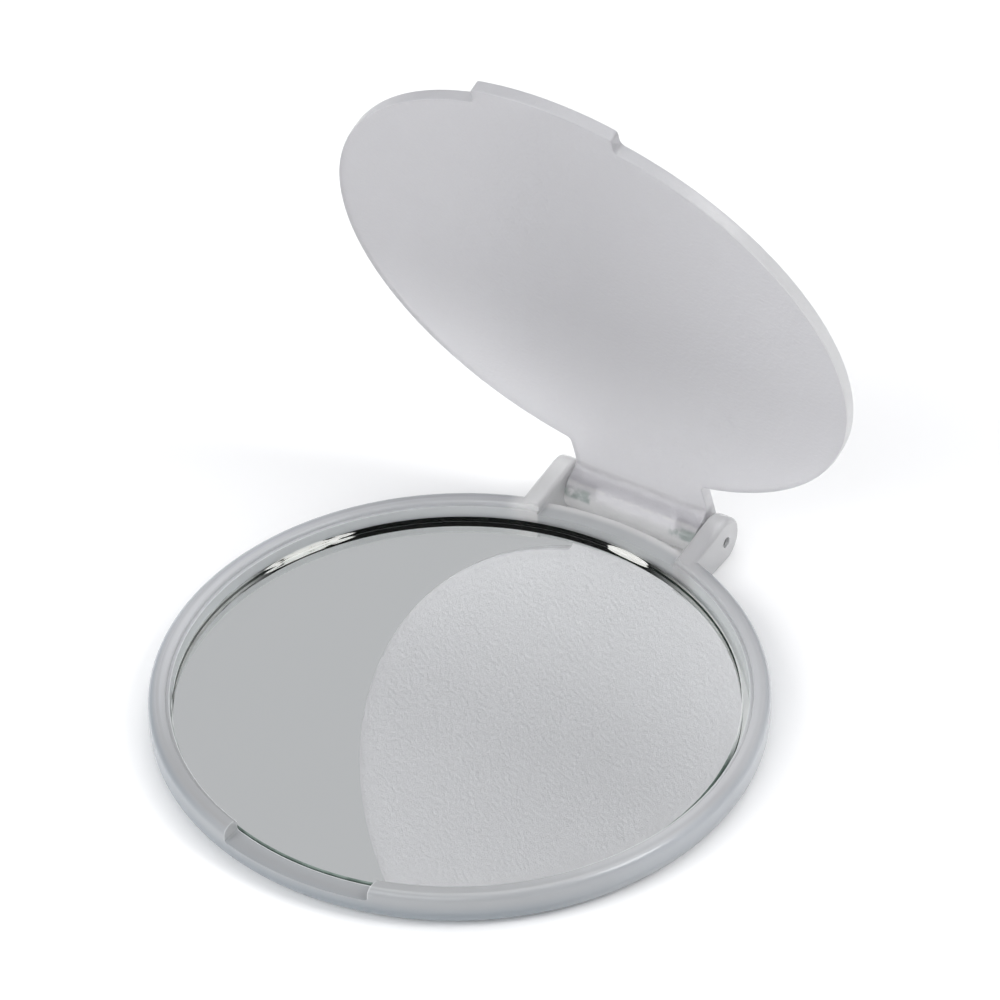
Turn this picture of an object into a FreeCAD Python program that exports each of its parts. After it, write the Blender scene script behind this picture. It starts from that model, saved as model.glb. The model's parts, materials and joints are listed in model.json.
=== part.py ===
import FreeCAD, Part
import math
import os
import re
import Sketcher

# Round folding pocket mirror, in millimetres. The origin is the centre of the tray's underside, Z is up,
# X runs along the hinge axis and the hinge is on the +Y side. The lid stands open, as it is in use.
SIZES = {
    # round tray with a raised rim
    "tray_radius": 31.0,
    "tray_height": 4.1,
    "rim_width": 1.8,
    "ledge_width": 0.35,
    "floor_thickness": 0.9,
    "foot_round": 2.0,
    "crest_round": 0.8,
    "rim_edge_chamfer": 0.25,
    "notch_depth": 1.4,
    "neck_gap_depth": 0.8,
    "notch_edge_chamfer": 0.2,
    # mirror and the tape under it
    "tape_thickness": 0.3,
    "tape_inset": 2.5,
    "coat_thickness": 0.1,
    "glass_thickness": 1.3,
    "glass_slack": 0.4,
    "glass_shift_share": 0.8,
    "glass_arris": 0.12,
    # hinge
    "hinge_reach": 3.6,
    "ear_thickness": 2.2,
    "ear_length": 9.1,
    "ear_root_drop": 0.15,
    "ear_edge_chamfer": 0.3,
    "knuckle_half_width": 7.8,
    "knuckle_inset": 0.35,
    "side_clearance": 0.3,
    "pin_radius": 0.55,
    "pin_length": 5.0,
    "pin_recess": 0.3,
    "pin_chamfer": 0.12,
    "pin_clearance": 0.05,
    "socket_clearance": 0.3,
    # lid
    "lid_thickness": 1.38,
    "lid_nest": 0.35,
    "lid_table_gap": 0.07,
    "lid_clearance": 0.25,
    "lid_seat_gap": 0.1,
    "tab_half_width": 8.0,
    "tab_clearance": 0.25,
    "tab_tip_gap": 0.1,
    "tab_corner_round": 0.4,
    "tab_root_round": 0.7,
    "neck_root_round": 1.0,
    "lid_edge_chamfer": 0.15,
    "open_angle": 72.6,
    # every cut runs this far past the material it removes
    "cut_overrun": 3.0,
    # edges that get rounded are found to within this distance
    "edge_tolerance": 0.004,
}

# Sizes that follow from the ones above, so that mating pieces always agree. The hinge axis lies at half the
# closed height, so that the lid folds right back and lies flat beside the tray.
DERIVED = {
    "lid_seat_radius": "tray_radius - rim_width",
    "glass_seat_radius": "lid_seat_radius - ledge_width",
    "ledge_height": "tray_height - lid_nest - lid_seat_gap",
    "notch_height": "tray_height - notch_depth",
    "notch_half_width": "tab_half_width + tab_clearance",
    "neck_gap_height": "tray_height - neck_gap_depth",
    "coat_bottom": "floor_thickness + tape_thickness",
    "glass_bottom": "coat_bottom + coat_thickness",
    "glass_radius": "glass_seat_radius - glass_slack",
    "glass_shift": "glass_slack * glass_shift_share",
    "hinge_y": "tray_radius + hinge_reach",
    "hinge_height": "(closed_height + lid_table_gap) / 2",
    "ear_inner": "knuckle_half_width + side_clearance",
    "ear_outer": "ear_inner + ear_thickness",
    "ear_root_y": "hinge_y - ear_length",
    "ear_root_height": "tray_height - ear_root_drop",
    "knuckle_radius": "hinge_height - knuckle_inset",
    "pin_outer_end": "ear_outer - pin_recess",
    "pin_inner_end": "pin_outer_end - pin_length",
    "socket_depth": "knuckle_half_width - pin_inner_end + socket_clearance",
    "lid_radius": "lid_seat_radius - lid_clearance",
    "closed_height": "tray_height - lid_nest + lid_thickness",
    "lid_top": "hinge_height - lid_table_gap",
    "lid_offset": "lid_top - lid_thickness",
    "heel_y": "knuckle_radius - lid_top",
    "tab_tip_radius": "tray_radius - tab_tip_gap",
}

doc = FreeCAD.newDocument("pocket_mirror")
sheet = doc.addObject("Spreadsheet::Sheet", "Sizes")
for row, (name, size) in enumerate(SIZES.items(), start=1):
    sheet.set(f"A{row}", name)
    sheet.set(f"B{row}", str(size))
    sheet.setAlias(f"B{row}", name)
doc.recompute()


def formula(text):
    """Text in size names, as an expression over the sheet."""
    def expand(match):
        word = match.group(0)
        if word in DERIVED:
            return f"({formula(DERIVED[word])})"
        return f"Sizes.{word}" if word in SIZES else word
    return re.sub(r"[a-z]\w*", expand, text)


def value(text):
    return float(sheet.evalExpression(formula(text)))


def new_body(label):
    body = doc.addObject("PartDesign::Body", label)
    body.Label = label
    return body


def origin_plane(body, role):
    return next(feature for feature in body.Origin.OriginFeatures if feature.Role == role)


def new_sketch(body, label, role, lift="0"):
    sketch = body.newObject("Sketcher::SketchObject", label)
    sketch.AttachmentSupport = [(origin_plane(body, role), "")]
    sketch.MapMode = "FlatFace"
    sketch.setExpression("AttachmentOffset.Base.z", formula(lift))
    return sketch


def bind(sketch, constraint, text):
    index = sketch.addConstraint(constraint)
    sketch.setExpression(f"Constraints[{index}]", formula(text))


def pin_down(sketch, edge, end, x, y):
    """Holds one point of the sketch at coordinates given as size texts."""
    for kind, axis, text in (("DistanceX", -2, x), ("DistanceY", -1, y)):
        size = value(text)
        if size == 0:
            sketch.addConstraint(Sketcher.Constraint("PointOnObject", edge, end, axis))
        elif size > 0:
            bind(sketch, Sketcher.Constraint(kind, -1, 1, edge, end, size), text)
        else:
            bind(sketch, Sketcher.Constraint(kind, edge, end, -1, 1, -size), f"-({text})")


def point(x, y):
    return FreeCAD.Vector(value(x), value(y), 0)


def short_arc(centre, radius, first, last):
    """Arc under half a turn between two points; also tells whether it runs first to last."""
    angles = [math.atan2(end.y - centre.y, end.x - centre.x) for end in (first, last)]
    forward = (angles[1] - angles[0]) % math.tau < math.pi
    low, high = angles if forward else angles[::-1]
    circle = Part.Circle(centre, FreeCAD.Vector(0, 0, 1), radius)
    return Part.ArcOfCircle(circle, low, low + (high - low) % math.tau), forward


def outline(sketch, corners, arcs=None):
    """Closed outline through corners; arcs gives a radius and a centre for the edge after a corner."""
    arcs = arcs or {}
    ends = []
    for index, corner in enumerate(corners):
        first = point(*corner)
        last = point(*corners[(index + 1) % len(corners)])
        if index in arcs:
            radius, centre = arcs[index]
            arc, forward = short_arc(point(*centre), value(radius), first, last)
            edge = sketch.addGeometry(arc)
            bind(sketch, Sketcher.Constraint("Radius", edge, value(radius)), radius)
            ends.append((edge, 1, 2) if forward else (edge, 2, 1))
        else:
            ends.append((sketch.addGeometry(Part.LineSegment(first, last)), 1, 2))
    for index, corner in enumerate(corners):
        edge, start, _ = ends[index]
        before, _, finish = ends[index - 1]
        sketch.addConstraint(Sketcher.Constraint("Coincident", before, finish, edge, start))
        pin_down(sketch, edge, start, *corner)


def circle(sketch, x, y, radius):
    edge = sketch.addGeometry(Part.Circle(point(x, y), FreeCAD.Vector(0, 0, 1), value(radius)))
    pin_down(sketch, edge, 3, x, y)
    bind(sketch, Sketcher.Constraint("Radius", edge, value(radius)), radius)


def extrude(kind, body, label, sketch, length, symmetric=False, reverse=False):
    feature = body.newObject(f"PartDesign::{kind}", label)
    feature.Profile = sketch
    feature.SideType = "Symmetric" if symmetric else "One side"
    feature.Reversed = reverse
    feature.setExpression("Length", formula(length))
    doc.recompute()
    return feature


def turn(kind, body, label, sketch):
    feature = body.newObject(f"PartDesign::{kind}", label)
    feature.Profile = sketch
    feature.ReferenceAxis = (sketch, ["V_Axis"])
    doc.recompute()
    return feature


def dress(kind, body, label, size, chosen):
    """Fillet or chamfer on every edge of the body so far that the test chooses."""
    before = body.Tip
    names = [f"Edge{n}" for n, edge in enumerate(before.Shape.Edges, start=1) if chosen(edge)]
    feature = body.newObject(f"PartDesign::{kind}", label)
    feature.Base = (before, names)
    feature.setExpression("Radius" if kind == "Fillet" else "Size", formula(size))
    doc.recompute()
    return feature


def near(number, text):
    return math.isclose(number, value(text), abs_tol=value("edge_tolerance"))


def flat_in(edge, axis, text):
    """Whether the whole edge lies where one coordinate has the given size."""
    box = edge.BoundBox
    low, high = {"x": (box.XMin, box.XMax), "y": (box.YMin, box.YMax), "z": (box.ZMin, box.ZMax)}[axis]
    return near(low, text) and near(high, text)


def upright(edge):
    box = edge.BoundBox
    return near(box.XLength, "0") and near(box.YLength, "0")


def reach(edge, centre_y="0"):
    """Distance of the edge's middle from an upright axis at X zero and the given Y."""
    middle = edge.CenterOfMass
    return math.hypot(middle.x, middle.y - value(centre_y))


# The two ears are first one block across the hinge, with a round end about the pin and a top that slopes
# down to the rim; the space for the knuckle is then cut out of its middle.
def add_ears(body):
    sketch = new_sketch(body, "ear_outline", "YZ_Plane")
    root, foot = point("ear_root_y", "0"), point("hinge_y", "0")
    top, centre = point("ear_root_y", "ear_root_height"), point("hinge_y", "hinge_height")
    radius = value("hinge_height")
    lean = math.atan2(centre.y - top.y, centre.x - top.x)
    spread = math.asin(radius / top.distanceToPoint(centre))
    crown_angle = lean + spread + math.pi / 2
    crown = centre + FreeCAD.Vector(math.cos(crown_angle), math.sin(crown_angle), 0) * radius
    rounding = Part.ArcOfCircle(
        Part.Circle(centre, FreeCAD.Vector(0, 0, 1), radius), -math.pi / 2, crown_angle)
    under = sketch.addGeometry(Part.LineSegment(root, foot))
    nose = sketch.addGeometry(rounding)
    slope = sketch.addGeometry(Part.LineSegment(crown, top))
    back = sketch.addGeometry(Part.LineSegment(top, root))
    sketch.addConstraint(Sketcher.Constraint("Coincident", slope, 2, back, 1))
    sketch.addConstraint(Sketcher.Constraint("Coincident", back, 2, under, 1))
    pin_down(sketch, under, 1, "ear_root_y", "0")
    pin_down(sketch, back, 1, "ear_root_y", "ear_root_height")
    pin_down(sketch, nose, 3, "hinge_y", "hinge_height")
    bind(sketch, Sketcher.Constraint("Radius", nose, radius), "hinge_height")
    sketch.addConstraint(Sketcher.Constraint("Tangent", under, 2, nose, 1))
    sketch.addConstraint(Sketcher.Constraint("Tangent", nose, 2, slope, 1))
    extrude("Pad", body, "ear_block", sketch, "2 * ear_outer", symmetric=True)

    sketch = new_sketch(body, "knuckle_space_outline", "YZ_Plane")
    low, high = "-cut_overrun", "2 * hinge_height + cut_overrun"
    front, behind = "ear_root_y - cut_overrun", "hinge_y + hinge_height + cut_overrun"
    outline(sketch, [(front, low), (behind, low), (behind, high), (front, high)])
    extrude("Pocket", body, "knuckle_space", sketch, "2 * ear_inner", symmetric=True)

    def on_side_face(edge):
        return any(flat_in(edge, "x", side) for side in ("ear_outer", "-ear_outer", "ear_inner", "-ear_inner"))

    def round_end(edge):
        return on_side_face(edge) and hasattr(edge.Curve, "Radius")

    dress("Chamfer", body, "ear_edges", "ear_edge_chamfer", round_end)


# A round disc with rounded edges, turned in one go, then hollowed: a pocket for the mirror, a narrow ledge
# that the closed lid rests on and a wall round the lid. The same cut trims the front ends of the ears.
def add_tray(body):
    sketch = new_sketch(body, "tray_outline", "XZ_Plane")
    foot, crest = "tray_radius - foot_round", "tray_radius - crest_round"
    shoulder = "tray_height - crest_round"
    outline(
        sketch,
        [("0", "0"), (foot, "0"), ("tray_radius", "foot_round"), ("tray_radius", shoulder),
         (crest, "tray_height"), ("0", "tray_height")],
        {1: ("foot_round", (foot, "foot_round")), 3: ("crest_round", (crest, shoulder))})
    turn("Revolution", body, "tray_disc", sketch)

    sketch = new_sketch(body, "recess_outline", "XZ_Plane")
    top = "tray_height + cut_overrun"
    lip = "tray_height - rim_edge_chamfer"
    mouth = "lid_seat_radius + rim_edge_chamfer"
    outline(
        sketch,
        [("0", "floor_thickness"), ("glass_seat_radius", "floor_thickness"),
         ("glass_seat_radius", "ledge_height"), ("lid_seat_radius", "ledge_height"),
         ("lid_seat_radius", lip), (mouth, "tray_height"), (mouth, top), ("0", top)])
    turn("Groove", body, "recess", sketch)


# The rim is cut down in two places: in front for the lid's tab, and behind for the lid's neck.
def add_rim_cuts(body):
    cuts = (("notch", "notch_half_width", "notch_height", False),
            ("neck_gap", "ear_inner", "neck_gap_height", True))
    for label, half_width, height, rear in cuts:
        sketch = new_sketch(body, f"{label}_outline", "XZ_Plane")
        top = "2 * hinge_height + cut_overrun"
        left = f"-{half_width}"
        outline(sketch, [(left, height), (half_width, height), (half_width, top), (left, top)])
        extrude("Pocket", body, label, sketch, "tray_radius + cut_overrun", reverse=not rear)

    def notch_corner(edge):
        on_wall = flat_in(edge, "x", "notch_half_width") or flat_in(edge, "x", "-notch_half_width")
        return on_wall and edge.BoundBox.ZMax > value("tray_height - crest_round")

    dress("Chamfer", body, "notch_corners", "notch_edge_chamfer", notch_corner)


def build_base_tray():
    body = new_body("base_tray")
    add_ears(body)
    add_tray(body)
    add_rim_cuts(body)
    sketch = new_sketch(body, "pin_hole_outline", "YZ_Plane")
    circle(sketch, "hinge_y", "hinge_height", "pin_radius")
    extrude("Pocket", body, "pin_holes", sketch, "2 * (ear_outer + cut_overrun)", symmetric=True)
    return body


# The lid is drawn closed, about the hinge axis: the disc, the tab in front, the neck behind and the knuckle.
# The lid's outer face curves down behind the hinge and runs smoothly into the knuckle's barrel.
# The lid is then placed on the hinge and turned open.
def build_lid():
    body = new_body("lid")
    sketch = new_sketch(body, "disc_outline", "XY_Plane", "lid_offset")
    circle(sketch, "0", "-hinge_y", "lid_radius")
    extrude("Pad", body, "disc", sketch, "lid_thickness")

    sketch = new_sketch(body, "tab_outline", "XY_Plane", "lid_offset")
    tip = "-hinge_y - sqrt(tab_tip_radius^2 - tab_half_width^2)"
    outline(
        sketch,
        [("tab_half_width", "-hinge_y"), ("-tab_half_width", "-hinge_y"),
         ("-tab_half_width", tip), ("tab_half_width", tip)],
        {2: ("tab_tip_radius", ("0", "-hinge_y"))})
    extrude("Pad", body, "tab", sketch, "lid_thickness")

    sketch = new_sketch(body, "neck_outline", "XY_Plane", "lid_offset")
    side = "knuckle_half_width"
    outline(sketch, [(f"-{side}", "-hinge_y"), (side, "-hinge_y"), (side, "heel_y"), (f"-{side}", "heel_y")])
    extrude("Pad", body, "neck", sketch, "lid_thickness")

    sketch = new_sketch(body, "knuckle_outline", "YZ_Plane")
    circle(sketch, "0", "0", "knuckle_radius")
    extrude("Pad", body, "knuckle", sketch, "2 * knuckle_half_width", symmetric=True)

    sketch = new_sketch(body, "heel_outline", "YZ_Plane")
    outline(
        sketch,
        [("heel_y", "0"), ("knuckle_radius", "0"), ("heel_y", "lid_top")],
        {1: ("lid_top", ("heel_y", "0"))})
    extrude("Pad", body, "heel", sketch, "2 * knuckle_half_width", symmetric=True)
    add_lid_rounds(body)

    sketch = new_sketch(body, "socket_outline", "YZ_Plane", "knuckle_half_width")
    circle(sketch, "0", "0", "pin_radius + pin_clearance")
    socket = extrude("Pocket", body, "pin_socket", sketch, "socket_depth")
    other = body.newObject("PartDesign::Mirrored", "other_socket")
    other.Originals = [socket]
    other.MirrorPlane = (origin_plane(body, "YZ_Plane"), [""])
    body.Tip = other

    body.Placement = FreeCAD.Placement(
        FreeCAD.Vector(0, 0, 0), FreeCAD.Rotation(FreeCAD.Vector(1, 0, 0), -value("open_angle")))
    body.setExpression("Placement.Base.y", formula("hinge_y"))
    body.setExpression("Placement.Base.z", formula("hinge_height"))
    body.setExpression("Placement.Rotation.Angle", formula("-open_angle"))
    return body


def add_lid_rounds(body):
    def neck_root(edge):
        box = edge.BoundBox
        inside = -value("knuckle_radius") < box.YMin and box.YMax < 0
        return inside and flat_in(edge, "z", "lid_offset") and near(box.YLength, "0")

    def tab_root(edge):
        return upright(edge) and near(reach(edge, "-hinge_y"), "lid_radius") and in_front(edge)

    def tab_corner(edge):
        return upright(edge) and near(reach(edge, "-hinge_y"), "tab_tip_radius") and in_front(edge)

    def in_front(edge):
        return edge.CenterOfMass.y < -value("hinge_y")

    def rim(edge):
        faces = ("lid_offset", "lid_top")
        clear_of_neck = edge.BoundBox.YMax < -value("knuckle_radius")
        return clear_of_neck and any(flat_in(edge, "z", face) for face in faces)

    dress("Fillet", body, "neck_root", "neck_root_round", neck_root)
    dress("Fillet", body, "tab_roots", "tab_root_round", tab_root)
    dress("Fillet", body, "tab_corners", "tab_corner_round", tab_corner)
    dress("Chamfer", body, "lid_rim", "lid_edge_chamfer", rim)


def build_disc(label, radius, thickness, bottom):
    body = new_body(label)
    sketch = new_sketch(body, f"{label}_outline", "XY_Plane")
    circle(sketch, "0", "0", radius)
    extrude("Pad", body, f"{label}_disc", sketch, thickness)
    body.setExpression("Placement.Base.x", formula("-glass_shift"))
    body.setExpression("Placement.Base.z", formula(bottom))
    return body


# The mirror lies in the tray as a stack of discs, pushed together to one side of its pocket: tape on the
# floor, the coat on the back of the glass, and the glass with its ground edges.
def build_mirror():
    tape = build_disc("adhesive_pad", "glass_radius - tape_inset", "tape_thickness", "floor_thickness")
    coat = build_disc("mirror_backing", "glass_radius", "coat_thickness", "coat_bottom")
    glass = build_disc("mirror_glass", "glass_radius", "glass_thickness", "glass_bottom")
    dress("Chamfer", glass, "ground_edges", "glass_arris", lambda edge: flat_in(edge, "z", "glass_thickness"))
    return [tape, coat, glass]


def build_pin(label, inner_end):
    body = new_body(label)
    sketch = new_sketch(body, f"{label}_outline", "YZ_Plane")
    circle(sketch, "0", "0", "pin_radius")
    extrude("Pad", body, f"{label}_wire", sketch, "pin_length")

    def end(edge):
        return flat_in(edge, "x", "0") or flat_in(edge, "x", "pin_length")

    dress("Chamfer", body, f"{label}_ends", "pin_chamfer", end)
    body.setExpression("Placement.Base.x", formula(inner_end))
    body.setExpression("Placement.Base.y", formula("hinge_y"))
    body.setExpression("Placement.Base.z", formula("hinge_height"))
    return body


pieces = [build_base_tray(), build_lid(), *build_mirror()]
pieces.append(build_pin("hinge_pin_left", "-pin_outer_end"))
pieces.append(build_pin("hinge_pin_right", "pin_inner_end"))
doc.recompute()

for item in doc.Objects:
    if {"Invalid", "Error"} & set(item.State):
        raise RuntimeError(f"{item.Label}: {item.State}")
for piece in pieces:
    if piece.Shape.isNull() or not piece.Shape.isValid() or len(piece.Shape.Solids) != 1:
        raise RuntimeError(f"{piece.Label} is not one sound solid")

os.makedirs("parts", exist_ok=True)
for piece in pieces:
    piece.Shape.exportStep(f"parts/{piece.Label}.step")
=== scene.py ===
import json
import math
import bmesh
import bpy
from mathutils import Matrix, Vector


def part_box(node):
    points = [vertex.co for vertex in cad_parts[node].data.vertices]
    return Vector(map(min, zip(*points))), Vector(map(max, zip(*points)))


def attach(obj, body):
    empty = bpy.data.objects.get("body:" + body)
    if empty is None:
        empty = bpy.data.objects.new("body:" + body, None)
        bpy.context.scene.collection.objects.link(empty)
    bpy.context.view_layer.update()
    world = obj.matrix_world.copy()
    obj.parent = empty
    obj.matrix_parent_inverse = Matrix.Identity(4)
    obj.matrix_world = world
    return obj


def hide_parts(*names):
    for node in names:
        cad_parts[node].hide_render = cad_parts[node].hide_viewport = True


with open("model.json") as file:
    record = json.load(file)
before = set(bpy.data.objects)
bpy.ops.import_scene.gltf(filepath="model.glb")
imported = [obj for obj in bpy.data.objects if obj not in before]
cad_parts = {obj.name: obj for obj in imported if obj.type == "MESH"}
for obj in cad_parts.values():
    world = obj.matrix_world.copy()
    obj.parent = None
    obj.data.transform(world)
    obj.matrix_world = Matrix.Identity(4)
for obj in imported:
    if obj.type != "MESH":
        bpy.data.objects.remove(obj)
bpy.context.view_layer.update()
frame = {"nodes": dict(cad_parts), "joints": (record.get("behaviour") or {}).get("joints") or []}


# Base tray: the lower half of the case, a shallow round dish moulded in one shot in frosted, see-through
# plastic. Its rim carries a ledge for the closed lid, a notch in front for the lid's tab and, behind,
# two hinge ears with a lower stretch of rim between them.
hinge = Vector(frame["joints"][0]["pos_m"])
tray_radius = -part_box("base_tray")[0].x
tray_height = 0.0041
tray_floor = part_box("adhesive_pad")[0].z
foot_round = 0.002
crest_round = 0.0008
ledge_height = 0.00365
lid_seat_radius = 0.0292
glass_seat_radius = 0.02885
lip_round = 0.00025
lip_steps = 5
notch_half_width = 0.00825
notch_height = 0.0027
notch_corner = 0.0003
neck_gap_height = 0.00331
neck_gap_half_width = 0.0089
ear_inner = 0.0081
ear_outer = 0.0103
ear_radius = 0.00259
ear_root_y = 0.0255
ear_root_height = 0.0038
ear_root_length = 0.001
ear_root_lift = 0.00002
ear_edge_round = 0.0005
ear_flat_turn = math.radians(0.5)
ear_steps = 72
pin_hole_radius = 0.0006
pin_hole_overrun = 0.00075
bore_steps = 32
cut_overrun = 0.006
round_steps = 144
touching = 2e-6


def begin(primitive, name, **sizes):
    """Adds a primitive, alone selected, with its place in its mesh, and opens it for editing."""
    bpy.ops.object.select_all(action="DESELECT")
    primitive(**sizes)
    piece = bpy.context.object
    piece.name = piece.data.name = name
    bpy.ops.object.transform_apply(location=True, rotation=True, scale=True)
    bpy.ops.object.mode_set(mode="EDIT")
    return piece


def choose(piece, kind, test):
    """Selects the edges or faces that pass the test, and nothing else."""
    bpy.ops.mesh.select_mode(type=kind)
    bpy.ops.mesh.select_all(action="DESELECT")
    mesh = bmesh.from_edit_mesh(piece.data)
    for element in mesh.edges if kind == "EDGE" else mesh.faces:
        if test(element):
            element.select_set(True)
    bmesh.update_edit_mesh(piece.data)


def lies_at(**places):
    """A test for an edge or face that lies where the named coordinates have the given values."""
    def test(element):
        return all(
            abs(getattr(vertex.co, axis) - place) < touching
            for vertex in element.verts for axis, place in places.items())
    return test


def soften(piece, test, size, steps):
    """Rounds the edges that pass the test."""
    choose(piece, "EDGE", test)
    bpy.ops.mesh.bevel(offset=size, segments=steps, affect="EDGES", clamp_overlap=False)


def push(step=(0, 0, 0), widen=(1, 1, 1), about=(0, 0, 0)):
    """Extrudes the selected faces by a step and widens or narrows what was extruded."""
    bpy.ops.mesh.extrude_region_move(TRANSFORM_OT_translate={"value": step})
    bpy.ops.transform.resize(value=widen, center_override=about)


def done():
    bpy.ops.object.mode_set(mode="OBJECT")


def combine(piece, other, operation):
    """Joins another solid to the piece or cuts it away."""
    bpy.ops.object.select_all(action="DESELECT")
    bpy.context.view_layer.objects.active = piece
    modifier = piece.modifiers.new("combine", "BOOLEAN")
    modifier.operation = operation
    modifier.solver = "EXACT"
    modifier.object = other
    bpy.ops.object.modifier_apply(modifier=modifier.name)
    bpy.data.objects.remove(other)


def smooth(piece, angle_deg=40):
    """Merges stray points, turns the faces outwards and shades curves smooth and flat faces flat."""
    bpy.ops.object.select_all(action="DESELECT")
    piece.select_set(True)
    bpy.context.view_layer.objects.active = piece
    bpy.ops.object.mode_set(mode="EDIT")
    bpy.ops.mesh.select_all(action="SELECT")
    bpy.ops.mesh.remove_doubles(threshold=touching)
    bpy.ops.mesh.normals_make_consistent(inside=False)
    done()
    bpy.ops.object.shade_smooth_by_angle(angle=math.radians(angle_deg))
    modifier = piece.modifiers.new("flat faces", "WEIGHTED_NORMAL")
    modifier.keep_sharp = True
    bpy.ops.object.modifier_apply(modifier=modifier.name)


def across(name, radius, start, end, place, steps):
    """A round bar along the hinge axis, open for editing."""
    return begin(
        bpy.ops.mesh.primitive_cylinder_add, name, vertices=steps, radius=radius, depth=abs(end - start),
        location=((start + end) / 2, place.y, place.z), rotation=(0, math.radians(90), 0))


def block(name, low, high):
    """A box between two corners, open for editing."""
    return begin(
        bpy.ops.mesh.primitive_cube_add, name, size=1, location=(Vector(low) + Vector(high)) / 2,
        scale=Vector(high) - Vector(low))


tray = begin(
    bpy.ops.mesh.primitive_cylinder_add, "tray", vertices=round_steps, radius=tray_radius,
    depth=tray_height, location=(0, 0, tray_height / 2))
soften(tray, lies_at(z=0), foot_round, steps=12)
soften(tray, lies_at(z=tray_height), crest_round, steps=8)
done()

neck_gap = block(
    "neck_gap", (-neck_gap_half_width, ear_root_y, neck_gap_height),
    (neck_gap_half_width, hinge.y + cut_overrun, tray_height + cut_overrun))
done()
combine(tray, neck_gap, "DIFFERENCE")

for side in (-1, 1):
    ear = across("ear", ear_radius, side * ear_inner, side * ear_outer, hinge, ear_steps)
    bpy.ops.mesh.primitive_cube_add(
        size=1, location=(
            side * (ear_inner + ear_outer) / 2, ear_root_y + ear_root_length / 2,
            (ear_root_lift + ear_root_height) / 2),
        scale=(ear_outer - ear_inner, ear_root_length, ear_root_height - ear_root_lift))
    bpy.ops.mesh.select_all(action="SELECT")
    bpy.ops.mesh.convex_hull()
    bpy.ops.mesh.select_all(action="SELECT")
    bpy.ops.mesh.dissolve_limited(angle_limit=ear_flat_turn)
    for face in (ear_inner, ear_outer):
        soften(ear, lies_at(x=side * face), ear_edge_round, steps=4)
    done()
    combine(tray, ear, "UNION")

pocket = begin(
    bpy.ops.mesh.primitive_cylinder_add, "pocket", vertices=round_steps, radius=glass_seat_radius,
    depth=ledge_height - tray_floor, location=(0, 0, (ledge_height + tray_floor) / 2))
choose(pocket, "FACE", lies_at(z=ledge_height))
profile = [(lid_seat_radius, ledge_height)]
for step in range(lip_steps + 1):
    turn = math.radians(90) * step / lip_steps
    profile.append((
        lid_seat_radius + lip_round * (1 - math.cos(turn)),
        tray_height - lip_round + lip_round * math.sin(turn)))
profile.append((lid_seat_radius + lip_round, tray_height + cut_overrun))
radius, height = glass_seat_radius, ledge_height
for wider, higher in profile:
    push((0, 0, higher - height), (wider / radius, wider / radius, 1))
    radius, height = wider, higher
done()
combine(tray, pocket, "DIFFERENCE")

notch = block(
    "notch", (-notch_half_width, -tray_radius - cut_overrun, notch_height),
    (notch_half_width, -tray_radius + cut_overrun, tray_height + cut_overrun))
for side in (-1, 1):
    soften(notch, lies_at(x=side * notch_half_width, z=notch_height), notch_corner, steps=4)
done()
combine(tray, notch, "DIFFERENCE")

for side in (-1, 1):
    hole = across(
        "hole", pin_hole_radius, side * (ear_inner - pin_hole_overrun), side * (ear_outer + cut_overrun),
        hinge, bore_steps)
    done()
    combine(tray, hole, "DIFFERENCE")
smooth(tray)


class Shade:
    """A value in a material. Arithmetic on it adds Math nodes, and node() adds any other kind."""

    def __init__(self, material, socket=None):
        self.material = material
        self.socket = socket

    def node(self, kind, settings=(), inputs=(), output=0):
        made = self.material.node_tree.nodes.new(kind)
        for name, value in dict(settings).items():
            setattr(made, name, value)
        for name, value in dict(inputs).items():
            if isinstance(value, Shade):
                self.material.node_tree.links.new(value.socket, made.inputs[name])
            else:
                made.inputs[name].default_value = value
        return Shade(self.material, made.outputs[output])

    def math(self, operation, *values):
        return self.node("ShaderNodeMath", {"operation": operation}, enumerate(values))

    def __add__(self, other):
        return self.math("ADD", self, other)

    def __sub__(self, other):
        return self.math("SUBTRACT", self, other)

    def __rsub__(self, other):
        return self.math("SUBTRACT", other, self)

    def __mul__(self, other):
        return self.math("MULTIPLY", self, other)

    def __truediv__(self, other):
        return self.math("DIVIDE", self, other)

    __radd__ = __add__
    __rmul__ = __mul__

    def axis(self, name):
        """One of the three numbers of a place."""
        return self.node("ShaderNodeSeparateXYZ", (), {"Vector": self}, name)

    def rise(self, low, high):
        """0 below low and 1 above high, with a soft step between."""
        return self.node(
            "ShaderNodeMapRange", {"interpolation_type": "SMOOTHSTEP"},
            {"Value": self, "From Min": low, "From Max": high})

    def tint(self, below, above):
        """One colour where the value is 0, changing to another where it is 1."""
        first, second = [(*end, 1) if isinstance(end, tuple) else end for end in (below, above)]
        factor_input, first_input, second_input, colour_output = 0, 6, 7, 2
        inputs = {factor_input: self, first_input: first, second_input: second}
        return self.node("ShaderNodeMix", {"data_type": "RGBA"}, inputs, colour_output)

    def noise(self, place, scale, detail=3):
        return self.node("ShaderNodeTexNoise", (), {"Vector": place, "Scale": scale, "Detail": detail})

    def streaks(self, slow, fast):
        """Noise over two numbers, drawn out into streaks along the one that changes slowly."""
        return self.noise(self.node("ShaderNodeCombineXYZ", (), {"X": slow, "Y": fast}), scale=1)

    def bump(self, height, strength, distance):
        return self.node(
            "ShaderNodeBump", (), {"Height": height, "Strength": strength, "Distance": distance})

    def surface(self, **inputs):
        """The finished shader of the material, with its sockets named in words joined by _."""
        named = {name.replace("_", " "): value for name, value in inputs.items()}
        shader = self.node("ShaderNodeBsdfPrincipled", (), named)
        tree = self.material.node_tree
        tree.links.new(shader.socket, tree.nodes.new("ShaderNodeOutputMaterial").inputs["Surface"])


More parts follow.
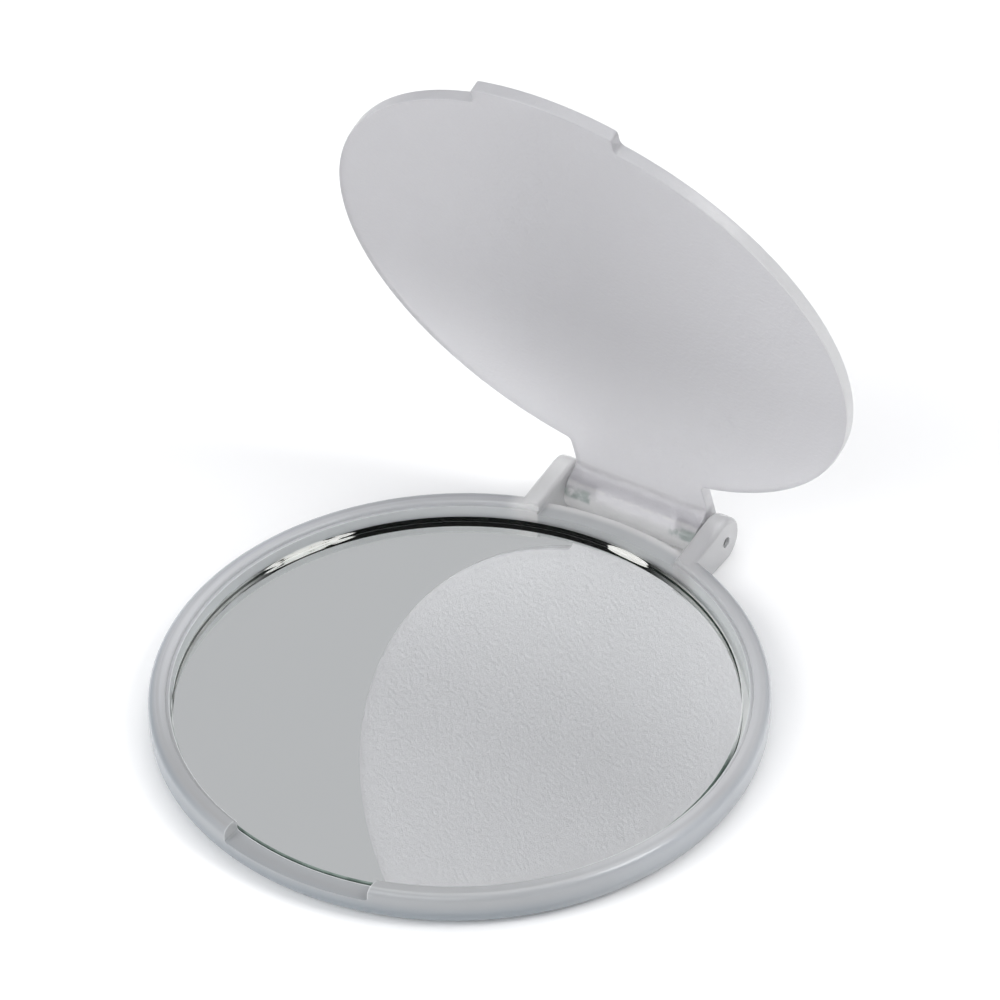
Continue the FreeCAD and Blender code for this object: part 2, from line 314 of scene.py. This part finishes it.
def new_finish(name):
    """A bare material to start from, and the place on its piece."""
    material = bpy.data.materials.new(name)
    material.use_nodes = True
    material.node_tree.nodes.clear()
    start = Shade(material)
    return start, start.node("ShaderNodeTexCoord", output="Object")


no_glow = (0, 0, 0)


def tray_plastic():
    start, place = new_finish("tray_plastic")
    x, y, z = map(place.axis, "XYZ")
    out = start.math("SQRT", x * x + y * y)
    around = start.math("ARCTAN2", x, y)
    aside = start.math("ABSOLUTE", x)
    cloud = start.noise(place, scale=90)
    grain = start.noise(place, scale=9000, detail=2)

    # Zones of the tray, 1 inside and 0 outside, with soft borders.
    low_wall = 1 - z.rise(0.0012, 0.0032)
    crest = out.rise(0.0302, 0.0309)
    lip = 1 - out.rise(0.0297, 0.0301)
    inner_wall = 1 - out.rise(glass_seat_radius + 0.00005, glass_seat_radius + 0.0001)
    in_pocket = inner_wall * (1 - z.rise(0.0018, 0.0029))
    rightward = x.rise(0.008, 0.026)
    far_right = x.rise(0.02, 0.03)
    back_right = x.rise(0.008, 0.02) * y.rise(0.002, 0.012)
    leftward = 1 - x.rise(-0.02, -0.004)
    far_left = 1 - x.rise(-0.026, -0.02)
    front = 1 - y.rise(-0.028, -0.004)
    front_half = 1 - y.rise(-0.016, -0.002)
    at_back = y.rise(ear_root_y + 0.0007, ear_root_y + 0.002)
    at_hinge = at_back * (1 - aside.rise(ear_outer, ear_outer + 0.0015))
    at_ears = aside.rise(ear_inner - 0.0002, ear_inner + 0.0001)
    in_slot = at_hinge * out.rise(0.03, 0.0306) * (1 - at_ears)
    at_notch = (1 - y.rise(-0.0272, -0.0268)) * z.rise(notch_height + 0.0001, notch_height + 0.0003)
    past_notch = aside.rise(notch_half_width + 0.00005, notch_half_width + 0.00015)
    notch_wall = at_notch * aside.rise(0.0079, 0.0081) * (1 - past_notch)
    # Painted highlights: fine lilac streaks across the top of the rim, on its left half.
    highlight_streak_noise = start.streaks(around * 2, out * 9000).rise(0.5, 0.62)
    painted_highlight_lines = highlight_streak_noise * out.rise(0.0294, 0.0298) * (1 - x.rise(-0.005, 0.01))

    crest_shade_blue = (0.47, 0.52, 0.58)
    highlight_lilac = (0.78, 0.80, 0.88)
    front_shade_grey = (0.44, 0.445, 0.45)
    left_crest_shade_blue = (0.30, 0.345, 0.39)
    lip_lit_white = (0.82, 0.825, 0.84)
    foot_shade_blue = (0.27, 0.32, 0.365)
    notch_lit_white = (0.80, 0.81, 0.82)
    pocket_lit_white = (0.88, 0.905, 0.90)

    # The milky body comes first, and each tint is laid over the ones before it. The tints are painted
    # light and shade.
    colour = cloud.rise(0.35, 0.65).tint((0.575, 0.58, 0.595), (0.595, 0.60, 0.615))
    # Painted shade: the crest is darker and bluer, less so towards the right.
    colour = (crest * (0.85 - 0.4 * rightward)).tint(colour, crest_shade_blue)
    # Painted highlights: the lilac streaks, fainter in front.
    colour = (painted_highlight_lines * (0.5 - 0.3 * front)).tint(colour, highlight_lilac)
    # Painted shade: the front of the tray is greyer and darker.
    colour = (front * 0.8).tint(colour, front_shade_grey)
    # Painted shade: the crest is darker and bluer on the left of the front half.
    colour = (crest * leftward * front_half * 0.6).tint(colour, left_crest_shade_blue)
    # Painted light: the lip and ledge inside the rim are lighter, more on the left, and not in front.
    colour = (lip * (1 - front) * (0.35 + 0.25 * leftward)).tint(colour, lip_lit_white)
    # Painted shade: the foot of the wall is darker and bluer, less so on the far right.
    colour = (low_wall * (0.9 - 0.6 * far_right)).tint(colour, foot_shade_blue)
    # Painted light: the walls of the notch are lighter.
    colour = (notch_wall * 0.4).tint(colour, notch_lit_white)
    # Painted light: the wall around the glass is lighter.
    colour = (inner_wall * 0.8).tint(colour, pocket_lit_white)
    # Painted light and shade at the hinge: the left ear is light and the right ear darker, and the
    # lowered rim between them is lighter towards its outer edge.
    ears_light_and_shade = x.rise(-0.009, 0.009).tint((0.93, 0.93, 0.93), (0.67, 0.67, 0.68))
    slot_light_and_shade = out.rise(0.0298, 0.0308).tint((0.64, 0.66, 0.67), (0.92, 0.92, 0.92))
    colour = at_hinge.tint(colour, at_ears.tint(slot_light_and_shade, ears_light_and_shade))

    # Painted glow: emission stands in for light that passes through the thin walls, and lifts the narrow
    # gaps, the wall around the glass and the walls of the notch.
    painted_pocket_glow = in_pocket * (0.19 * back_right + 0.1 * far_left) + 0.035 * inner_wall * leftward
    painted_glow = painted_pocket_glow + 0.03 * in_slot + 0.05 * notch_wall
    start.surface(
        Base_Color=colour, Roughness=0.34 + 0.08 * cloud + 0.2 * inner_wall,
        Normal=start.bump(grain, strength=0.06, distance=0.00003), Transmission_Weight=0.4, IOR=1.45,
        Coat_Weight=0.8 * (1 - inner_wall), Coat_Roughness=0.05,
        Emission_Color=painted_glow.tint(no_glow, (1.0, 1.0, 0.985)), Emission_Strength=1.0)
    return start.material


tray.data.materials.append(tray_plastic())
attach(tray, "base")
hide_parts("base_tray")


# Adhesive pad: a disc of white double-sided foam tape, die cut a little smaller than the mirror and
# stuck to the tray floor. The mirror hides it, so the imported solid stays.
def foam_tape():
    start, place = new_finish("foam_tape")
    cells = start.node("ShaderNodeTexVoronoi", {"feature": "F1"}, {"Vector": place, "Scale": 4000})
    colour = cells.rise(0.1, 0.6).tint((0.55, 0.55, 0.53), (0.72, 0.72, 0.69))
    start.surface(
        Base_Color=colour, Roughness=0.8, Normal=start.bump(cells, strength=0.3, distance=0.00005))
    return start.material


def refinish(node, finish):
    """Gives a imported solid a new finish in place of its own."""
    slots = frame["nodes"][node].data.materials
    slots.clear()
    slots.append(finish)


refinish("adhesive_pad", foam_tape())


# Mirror backing: the silver on the back of the glass, with grey paint over it that faces the tray floor.
# It is a film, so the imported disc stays: its upper face is the silver and the rest is paint.
backing_low, backing_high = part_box("mirror_backing")
paint_share = 0.6


def silvering():
    start, place = new_finish("silvering")
    paint_top = backing_low.z + paint_share * (backing_high.z - backing_low.z)
    silver = place.axis("Z").rise(paint_top, backing_high.z)
    speckle = start.noise(place, scale=2500)
    paint = speckle.rise(0.3, 0.7).tint((0.16, 0.17, 0.18), (0.22, 0.23, 0.24))
    bright = start.noise(place, scale=40).tint((0.97, 0.975, 0.975), (0.98, 0.985, 0.985))
    start.surface(
        Base_Color=silver.tint(paint, bright), Metallic=silver, Roughness=0.5 * (1 - silver))
    return start.material


refinish("mirror_backing", silvering())


# Mirror glass: a round plate of clear soda glass, cut and ground to a small arris at both edges. Its
# edge is dark green, painted black at the far side as shade, with painted glints, painted light streaks
# and a painted glow on its sides.
glass_low, glass_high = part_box("mirror_glass")
glass_middle = (glass_low + glass_high) / 2
glass_radius = (glass_high.x - glass_low.x) / 2
glass_lift = 0.00001
glass_bottom = glass_low.z + glass_lift
glass_arris = 0.00012
level_from = 0.9

glass = begin(
    bpy.ops.mesh.primitive_cylinder_add, "glass", vertices=round_steps, radius=glass_radius,
    depth=glass_high.z - glass_bottom,
    location=(glass_middle.x, glass_middle.y, (glass_high.z + glass_bottom) / 2))
for height in (glass_bottom, glass_high.z):
    soften(glass, lies_at(z=height), glass_arris, steps=1)
done()
smooth(glass)


def clear_glass():
    start, place = new_finish("clear_glass")
    smear = start.noise(place, scale=120)
    start.surface(
        Base_Color=smear.tint((0.985, 0.99, 0.985), (0.99, 0.995, 0.99)), Roughness=0.004 * smear,
        IOR=1.52, Transmission_Weight=1.0, Specular_Tint=(0, 0, 0, 1))
    return start.material


def ground_edge():
    start, place = new_finish("ground_edge")
    x, y, z = map(place.axis, "XYZ")
    turn = start.math("ARCTAN2", x - glass_middle.x, y - glass_middle.y)
    streak = start.noise(place, scale=800)
    lines = start.streaks(turn * 6, z * 5000)
    glint_breakup = start.streaks(turn * 15, z * 4200)

    def glint_oval(middle, half, height, half_height):
        """An oval of painted glint on the edge, placed by its turn and its height."""
        along = (turn - middle) / half
        up = (z - height) / half_height
        return (1 - along * along - up * up).rise(0, 0.2)

    # Zones of the edge by its turn, in radians from the back towards the right.
    far = turn.rise(-1.45, -1.25) * (1 - turn.rise(0.15, 0.45))
    near = (1 - turn.rise(-2.5, -2.2)) + turn.rise(1.2, 1.4)
    above_silver = z.rise(glass_bottom + 0.00025, glass_bottom + 0.0005)
    beside = (1 - near) * (turn.rise(0.25, 0.6) * above_silver + 1 - turn.rise(-1.5, -1.3))
    # Painted glints: bright ovals on the edge, the left one broken up into flakes.
    flaked_glints = glint_oval(middle=-1.13, half=0.2, height=0.0018, half_height=0.0007) * glint_breakup.rise(0.37, 0.43)
    painted_glints = glint_oval(middle=0.0975, half=0.095, height=0.0016, half_height=0.0008) + flaked_glints

    # The edge has its own green; it is painted black at the back as shade, and drawn with painted light
    # and dark streaks on the sides.
    far_shade_black = streak.rise(0.3, 0.7).tint((0.001, 0.002, 0.001), (0.004, 0.007, 0.004))
    green = streak.rise(0.3, 0.7).tint((0.13, 0.17, 0.15), (0.21, 0.26, 0.235))
    drawn = (lines.rise(0.32, 0.44) * above_silver).tint((0.04, 0.06, 0.05), (0.77, 0.79, 0.78))
    colour = painted_glints.tint(near.tint(far.tint(drawn, far_shade_black), green), (0.85, 0.85, 0.83))

    # Painted glow: the glints and the sides of the plate give off light, as though lit from inside the
    # glass.
    painted_side_glow = (0.09 * beside).tint(no_glow, (1.0, 1.0, 1.0))
    start.surface(
        Base_Color=colour, Roughness=0.35 + 0.2 * streak, Specular_IOR_Level=0.0,
        Emission_Color=painted_glints.tint(painted_side_glow, (0.45, 0.45, 0.43)), Emission_Strength=1.0)
    return start.material


glass.data.materials.append(clear_glass())
glass.data.materials.append(ground_edge())
for face in glass.data.polygons:
    face.material_index = 0 if abs(face.normal.z) > level_from else 1
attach(glass, "base")
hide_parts("mirror_glass")


# Lid: a thin round plate of the same frosted plastic, moulded in one with a lift tab in front, a neck
# behind and the hinge knuckle. It is shaped closed, about the hinge axis, and then turned open to where
# it rests.
open_turn = math.radians(frame["joints"][0]["range_deg"][0])
lid_radius = 0.02895
lid_inner = 0.00115
lid_outer = 0.00253
tab_half_width = 0.008
tab_reach = 0.001935
tab_corner = 0.0004
tab_root = 0.00053
neck_half_width = 0.0078
neck_corner = 0.00045
neck_root_round = 0.001
knuckle_radius = 0.00225
knuckle_steps = 16
corner_steps = 6
round_spare = 0.00001
lid_edge_round = 0.00015
lid_flat_turn = math.radians(0.1)
sharp_turn = math.radians(50)
upright_below = 0.5
socket_radius = 0.0006
socket_end = 0.0047


def cut_at(x):
    """Divides the faces at a plane across the hinge axis."""
    bpy.ops.mesh.select_all(action="SELECT")
    bpy.ops.mesh.bisect(plane_co=(x, 0, 0), plane_no=(1, 0, 0), threshold=touching / 10)


def wall_between(half_width, sign):
    """A test for the lid's edge wall in front or behind, within a half width of the middle."""
    def test(face):
        middle = face.calc_center_median()
        outward = sign * (middle.y + hinge.y) > 0
        return abs(face.normal.z) < upright_below and outward and abs(middle.x) < half_width
    return test


def upright_at(x, low, high):
    """A test for the upright edges at a distance to either side, between two places in depth."""
    def test(edge):
        inside = all(abs(abs(v.co.x) - x) < touching and low < v.co.y < high for v in edge.verts)
        return inside and abs(edge.verts[0].co.y - edge.verts[1].co.y) < touching
    return test


def under_knuckle(face):
    return lies_at(z=lid_inner)(face) and all(v.co.y > -knuckle_radius - touching for v in face.verts)


def sharp(edge):
    return edge.is_manifold and edge.calc_face_angle() > sharp_turn


lid = begin(
    bpy.ops.mesh.primitive_cylinder_add, "cover", vertices=round_steps, radius=lid_radius,
    depth=lid_outer - lid_inner, location=(0, -hinge.y, (lid_inner + lid_outer) / 2))
for side in (-1, 1):
    cut_at(side * tab_half_width)
choose(lid, "FACE", wall_between(tab_half_width, -1))
push((0, -tab_reach, 0))
for side in (-1, 1):
    cut_at(side * neck_half_width)
choose(lid, "FACE", wall_between(neck_half_width, 1))
push(widen=(1, 0, 1), about=(0, -knuckle_radius, 0))
push((0, 2 * knuckle_radius, 0))
choose(lid, "FACE", under_knuckle)
push((0, 0, -knuckle_radius - lid_inner))
bpy.ops.mesh.select_all(action="SELECT")
bpy.ops.mesh.dissolve_limited(angle_limit=lid_flat_turn)
soften(lid, lies_at(y=-knuckle_radius, z=lid_inner), neck_root_round, steps=8)
soften(lid, lies_at(y=knuckle_radius, z=lid_outer), lid_outer - round_spare, knuckle_steps)
for depth in (-knuckle_radius, knuckle_radius):
    soften(lid, lies_at(y=depth, z=-knuckle_radius), knuckle_radius - round_spare, knuckle_steps)
soften(lid, upright_at(tab_half_width, -2 * hinge.y, -hinge.y - lid_radius), tab_corner, corner_steps)
soften(lid, upright_at(tab_half_width, -hinge.y - lid_radius, -hinge.y), tab_root, corner_steps)
soften(lid, upright_at(neck_half_width, -hinge.y, -2 * knuckle_radius), neck_corner, corner_steps)
soften(lid, sharp, lid_edge_round, steps=3)
done()
for side in (-1, 1):
    socket = across(
        "socket", socket_radius, side * socket_end, side * (neck_half_width + cut_overrun), Vector(),
        bore_steps)
    done()
    combine(lid, socket, "DIFFERENCE")
lid.location = hinge
lid.rotation_euler.x = open_turn
bpy.ops.object.select_all(action="DESELECT")
lid.select_set(True)
bpy.context.view_layer.objects.active = lid
bpy.ops.object.transform_apply(location=True, rotation=True, scale=True)
smooth(lid)


def lid_plastic():
    start, place = new_finish("lid_plastic")
    x, y, z = map(place.axis, "XYZ")
    aside = start.math("ABSOLUTE", x)
    along = (hinge.y - y) * math.cos(open_turn) - (z - hinge.z) * math.sin(open_turn) - hinge.y
    tilt = start.math("ARCTAN2", z - hinge.z, hinge.y - y)
    cloud = start.noise(place, scale=60)
    grain = start.noise(place, scale=2300, detail=2)

    def wall_at(reach, edge):
        return reach.rise(edge - 0.00012, edge - 0.00008)

    # Zones of the lid, 1 inside and 0 outside. The knuckle's go by its tilt about the hinge, in radians.
    round_wall = wall_at(start.math("SQRT", x * x + along * along), lid_radius)
    tab_wall = wall_at(along - start.math("SQRT", lid_radius * lid_radius - x * x), tab_reach)
    beside_tab = aside.rise(tab_half_width, tab_half_width + 0.0002)
    wall = round_wall * beside_tab + tab_wall * (1 - beside_tab)
    rightward = x.rise(-0.005, 0.028)
    knuckle = 1 - z.rise(0.005, 0.006)
    behind = y.rise(hinge.y + 0.0008, hinge.y + 0.0016)
    over_pin = aside.rise(0.0045, 0.0049) * tilt.rise(0.0, 0.2) * (1 - tilt.rise(0.55, 0.75))
    highlight_band = (1 - start.math("ABSOLUTE", (tilt - 0.82) / 0.16)).rise(0, 1)

    # Painted light and shade: the plate is light at its foot and darker towards its top and to the
    # right.
    low = cloud.rise(0.35, 0.65).tint((0.89, 0.885, 0.905), (0.92, 0.915, 0.935))
    high = rightward.tint((0.60, 0.595, 0.615), (0.66, 0.655, 0.675))
    plate = (z.rise(0.006, 0.034) + 0.1 * (cloud - 0.5) - 0.1 * rightward).tint(low, high)
    # Painted light: the edge wall is lighter towards the right.
    rim = x.rise(0.009, 0.028).tint((0.70, 0.70, 0.72), (0.94, 0.94, 0.94))
    pin_show_through = (0.30, 0.35, 0.335)
    highlight_grey = (0.62, 0.61, 0.62)
    behind_white = (0.82, 0.82, 0.83)
    # Painted light and shade: the knuckle is lighter at its lower front and darker over its top.
    bar = tilt.rise(0.1, 0.8).tint((0.67, 0.67, 0.67), (0.56, 0.55, 0.58))
    # Painted see-through: dark smudges stand for the pins inside the knuckle.
    bar = (over_pin * start.noise(place, scale=700).rise(0.35, 0.6)).tint(bar, pin_show_through)
    # Painted highlight: a lighter streak along the knuckle.
    bar = (highlight_band * start.noise(place, scale=1500).rise(0.3, 0.6)).tint(bar, highlight_grey)
    bar = behind.tint(bar, behind_white)
    colour = knuckle.tint(wall.tint(plate, rim), bar)

    # Painted glow: emission stands in for light that passes through the knuckle, and lifts its front.
    painted_glow = 0.12 * knuckle * (1 - behind) * (1 - tilt.rise(-0.4, 0.3))
    start.surface(
        Base_Color=colour, Roughness=0.26 + 0.06 * cloud,
        Normal=start.bump(grain, strength=0.6, distance=0.0001), Transmission_Weight=0.55, IOR=1.5,
        Emission_Color=painted_glow.tint(no_glow, (1.0, 1.0, 1.0)), Emission_Strength=1.0)
    return start.material


lid.data.materials.append(lid_plastic())
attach(lid, "cover")
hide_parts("lid")


# Hinge pins: two short lengths of drawn steel wire with rounded ends, pressed through the ears so that
# they reach into blind sockets in the knuckle, which turns on them.
pin_end_round = 0.00012
pin_low, pin_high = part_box("hinge_pin_left")
pin_radius = (pin_high.z - pin_low.z) / 2
wire_stretch = (0.05, 1.0, 1.0)


def pin_steel():
    start, place = new_finish("pin_steel")
    stretched = start.node("ShaderNodeMapping", (), {"Vector": place, "Scale": wire_stretch})
    drawn = start.noise(stretched, scale=6000)
    colour = drawn.rise(0.3, 0.7).tint((0.10, 0.105, 0.10), (0.24, 0.245, 0.235))
    start.surface(
        Base_Color=colour, Metallic=1.0, Roughness=0.25 + 0.2 * drawn,
        Normal=start.bump(drawn, strength=0.1, distance=0.00002))
    return start.material


steel = pin_steel()
for side in ("left", "right"):
    node = f"hinge_pin_{side}"
    low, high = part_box(node)
    pin = across(f"pin_{side}", pin_radius, low.x, high.x, (low + high) / 2, bore_steps)
    for end in (low.x, high.x):
        soften(pin, lies_at(x=end), pin_end_round, steps=2)
    done()
    smooth(pin)
    pin.data.materials.append(steel)
    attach(pin, "base")
    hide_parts(node)


# Floor: a plain white table that the object stands on. It runs far past the picture, so that no edge of
# it shows.
floor_width = 6.0
bpy.ops.object.select_all(action="DESELECT")
bpy.ops.mesh.primitive_plane_add(size=floor_width, location=(0, 0, 0))
table = bpy.context.object
table.name = "table"


def table_white():
    start, place = new_finish("table_white")
    colour = start.noise(place, scale=3).tint((0.93, 0.93, 0.93), (0.94, 0.94, 0.94))
    start.surface(Base_Color=colour, Roughness=0.7)
    return start.material


table.data.materials.append(table_white())


# Light: an even grey tent with four soft lamps: a wide one in front, a tall one on the left, a square
# one overhead and a small one on the right.
tent_grey = (0.49, 0.495, 0.51, 1)
tent = bpy.data.worlds.new("tent")
tent.use_nodes = True
tent.node_tree.nodes["Background"].inputs["Color"].default_value = tent_grey
bpy.context.scene.world = tent


def direction(azimuth_deg, elevation_deg):
    """A unit vector away from the object. Azimuth 0 is in front and 90 on the right."""
    azimuth = math.radians(azimuth_deg)
    elevation = math.radians(elevation_deg)
    flat = math.cos(elevation)
    return Vector((math.sin(azimuth) * flat, -math.cos(azimuth) * flat, math.sin(elevation)))


def lamp(name, azimuth_deg, elevation_deg, distance, width, height, power):
    """A rectangular lamp that faces the object."""
    data = bpy.data.lights.new(name, "AREA")
    data.shape = "RECTANGLE"
    data.size = width
    data.size_y = height
    data.energy = power
    made = bpy.data.objects.new(name, data)
    bpy.context.scene.collection.objects.link(made)
    outward = direction(azimuth_deg, elevation_deg)
    made.location = outward * distance
    made.rotation_euler = outward.to_track_quat("Z", "Y").to_euler()


lamp("front_lamp", 10, 40, distance=1.0, width=0.7, height=0.6, power=2.0)
lamp("left_lamp", 328, 28, distance=1.0, width=0.4, height=1.0, power=5.0)
lamp("top_lamp", 180, 80, distance=1.0, width=0.8, height=0.8, power=3.0)
lamp("right_lamp", 102, 48, distance=0.8, width=0.3, height=0.35, power=2.1)


# Camera: a long lens that looks down on the object from the right of its front, rolled by about a
# degree. It aims at the point in the middle of the picture.
camera_azimuth_deg = 32.69
camera_elevation_deg = 39.46
camera_roll = math.radians(-1.075)
camera_distance = 0.7869
aim = Vector((-0.005532, 0.016734, 0.0141))
sensor = 36.0
focal_share = 7.85
back = direction(camera_azimuth_deg, camera_elevation_deg)
level = direction(camera_azimuth_deg + 90, 0)
upward = back.cross(level)
right = level * math.cos(camera_roll) + upward * math.sin(camera_roll)
above = upward * math.cos(camera_roll) - level * math.sin(camera_roll)
lens = bpy.data.cameras.new("camera")
lens.sensor_width = sensor
lens.lens = focal_share * sensor
lens.clip_start = 0.01
lens.clip_end = 20.0
camera = bpy.data.objects.new("camera", lens)
turned = Matrix((right, above, back)).transposed().to_4x4()
camera.matrix_world = Matrix.Translation(aim + back * camera_distance) @ turned
bpy.context.scene.collection.objects.link(camera)
bpy.context.scene.camera = camera
bpy.context.scene.view_settings.view_transform = "Standard"
